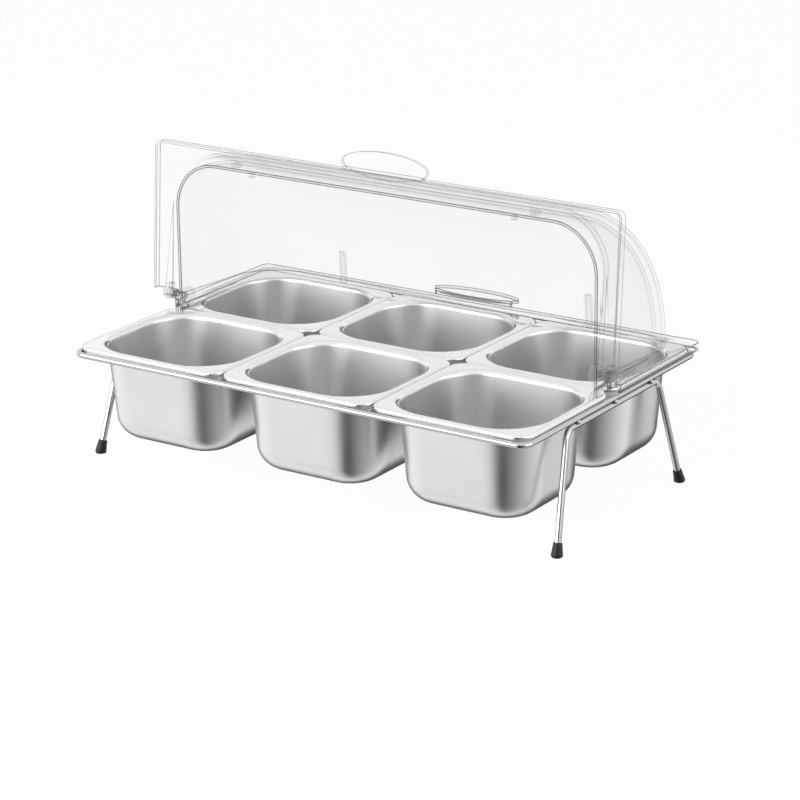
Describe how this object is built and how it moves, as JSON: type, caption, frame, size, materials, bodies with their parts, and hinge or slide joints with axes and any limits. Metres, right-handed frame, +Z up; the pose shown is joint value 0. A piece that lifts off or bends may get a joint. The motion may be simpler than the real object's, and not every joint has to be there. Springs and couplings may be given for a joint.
{
  "type": "serving stand with pans and flip lid",
  "caption": "Wire stand that holds small serving pans in two rows under a clear roll-top cover, whose front half flips back over its rear half on end hinges.",
  "frame": {"origin": "middle of the four feet, level with their undersides", "axes": "+X along the long side to the right, +Y to the rear, +Z up"},
  "size_m": [0.5586, 0.3548, 0.3265],
  "materials": {
    "wire": "polished steel wire",
    "pan": "satin stainless sheet with bright rims",
    "cap": "black rubber, matt",
    "cover": "clear polycarbonate, glossy"
  },
  "bodies": {
    "stand": {"top_ring": "wire", "cross_wire_left": "wire", "cross_wire_right": "wire", "long_wire": "wire", "leg_wire_left": "wire", "leg_wire_right": "wire", "weld_beads": "wire", "foot_front_left": "cap", "foot_front_right": "cap", "foot_rear_left": "cap", "foot_rear_right": "cap"},
    "cover": {"rear_cover": "cover", "hinge_pin_left": "cover", "hinge_pin_right": "cover", "end_bosses": "cover", "arch_stops": "cover", "guide_ribs": "cover", "bumper_pads": "cover"},
    "lid": {"front_lid": "cover"},
    "pan_front_left": {"pan_front_left": "pan"},
    "pan_front_middle": {"pan_front_middle": "pan"},
    "pan_front_right": {"pan_front_right": "pan"},
    "pan_rear_left": {"pan_rear_left": "pan"},
    "pan_rear_middle": {"pan_rear_middle": "pan"},
    "pan_rear_right": {"pan_rear_right": "pan"}
  },
  "joints": [
    {"name": "cover_lift", "type": "slide", "parent": "stand", "child": "cover", "axis": [0, 0, 1], "range_m": [0, 0.3]},
    {"name": "lid_flip", "type": "hinge", "parent": "cover", "child": "lid", "pos_m": [0, -0.001, 0.1427], "axis": [1, 0, 0], "range_deg": [0, 94.2]},
    {"name": "pan_front_left_lift", "type": "slide", "parent": "stand", "child": "pan_front_left", "axis": [0, 0, 1], "range_m": [0, 0.12]},
    {"name": "pan_front_middle_lift", "type": "slide", "parent": "stand", "child": "pan_front_middle", "axis": [0, 0, 1], "range_m": [0, 0.12]},
    {"name": "pan_front_right_lift", "type": "slide", "parent": "stand", "child": "pan_front_right", "axis": [0, 0, 1], "range_m": [0, 0.12]},
    {"name": "pan_rear_left_lift", "type": "slide", "parent": "stand", "child": "pan_rear_left", "axis": [0, 0, 1], "range_m": [0, 0.12]},
    {"name": "pan_rear_middle_lift", "type": "slide", "parent": "stand", "child": "pan_rear_middle", "axis": [0, 0, 1], "range_m": [0, 0.12]},
    {"name": "pan_rear_right_lift", "type": "slide", "parent": "stand", "child": "pan_rear_right", "axis": [0, 0, 1], "range_m": [0, 0.12]}
  ],
  "couplings": [
    {"joint": "pan_front_left_lift", "follows": "cover_lift", "ratio": 0.4},
    {"joint": "pan_front_middle_lift", "follows": "cover_lift", "ratio": 0.4},
    {"joint": "pan_front_right_lift", "follows": "cover_lift", "ratio": 0.4},
    {"joint": "pan_rear_left_lift", "follows": "cover_lift", "ratio": 0.4},
    {"joint": "pan_rear_middle_lift", "follows": "cover_lift", "ratio": 0.4},
    {"joint": "pan_rear_right_lift", "follows": "cover_lift", "ratio": 0.4}
  ]
}
